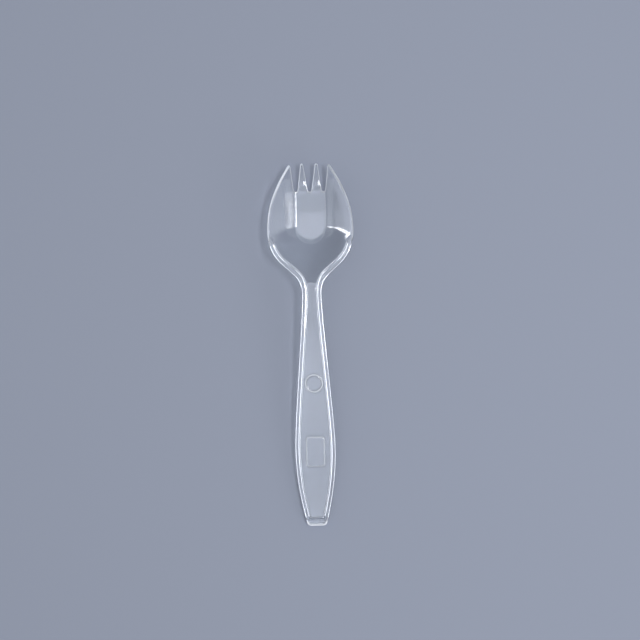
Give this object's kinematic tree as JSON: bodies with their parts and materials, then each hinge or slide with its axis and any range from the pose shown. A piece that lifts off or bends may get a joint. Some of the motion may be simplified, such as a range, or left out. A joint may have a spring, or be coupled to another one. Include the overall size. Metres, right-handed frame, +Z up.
{
  "type": "plastic spork",
  "caption": "Clear moulded plastic spork: a bowl that ends in short tines, on a waisted handle with side ribs, for eating.",
  "frame": {"origin": "on the table, under the middle of the spork's outline box, as it lies face up", "axes": "+Y along the spork towards the tips of the tines, +Z up out of the bowl, +X across to the right"},
  "size_m": [0.0348, 0.1504, 0.01],
  "materials": {
    "clear_plastic": "gloss"
  },
  "bodies": {
    "root": {"spork": "clear_plastic"}
  },
  "joints": []
}
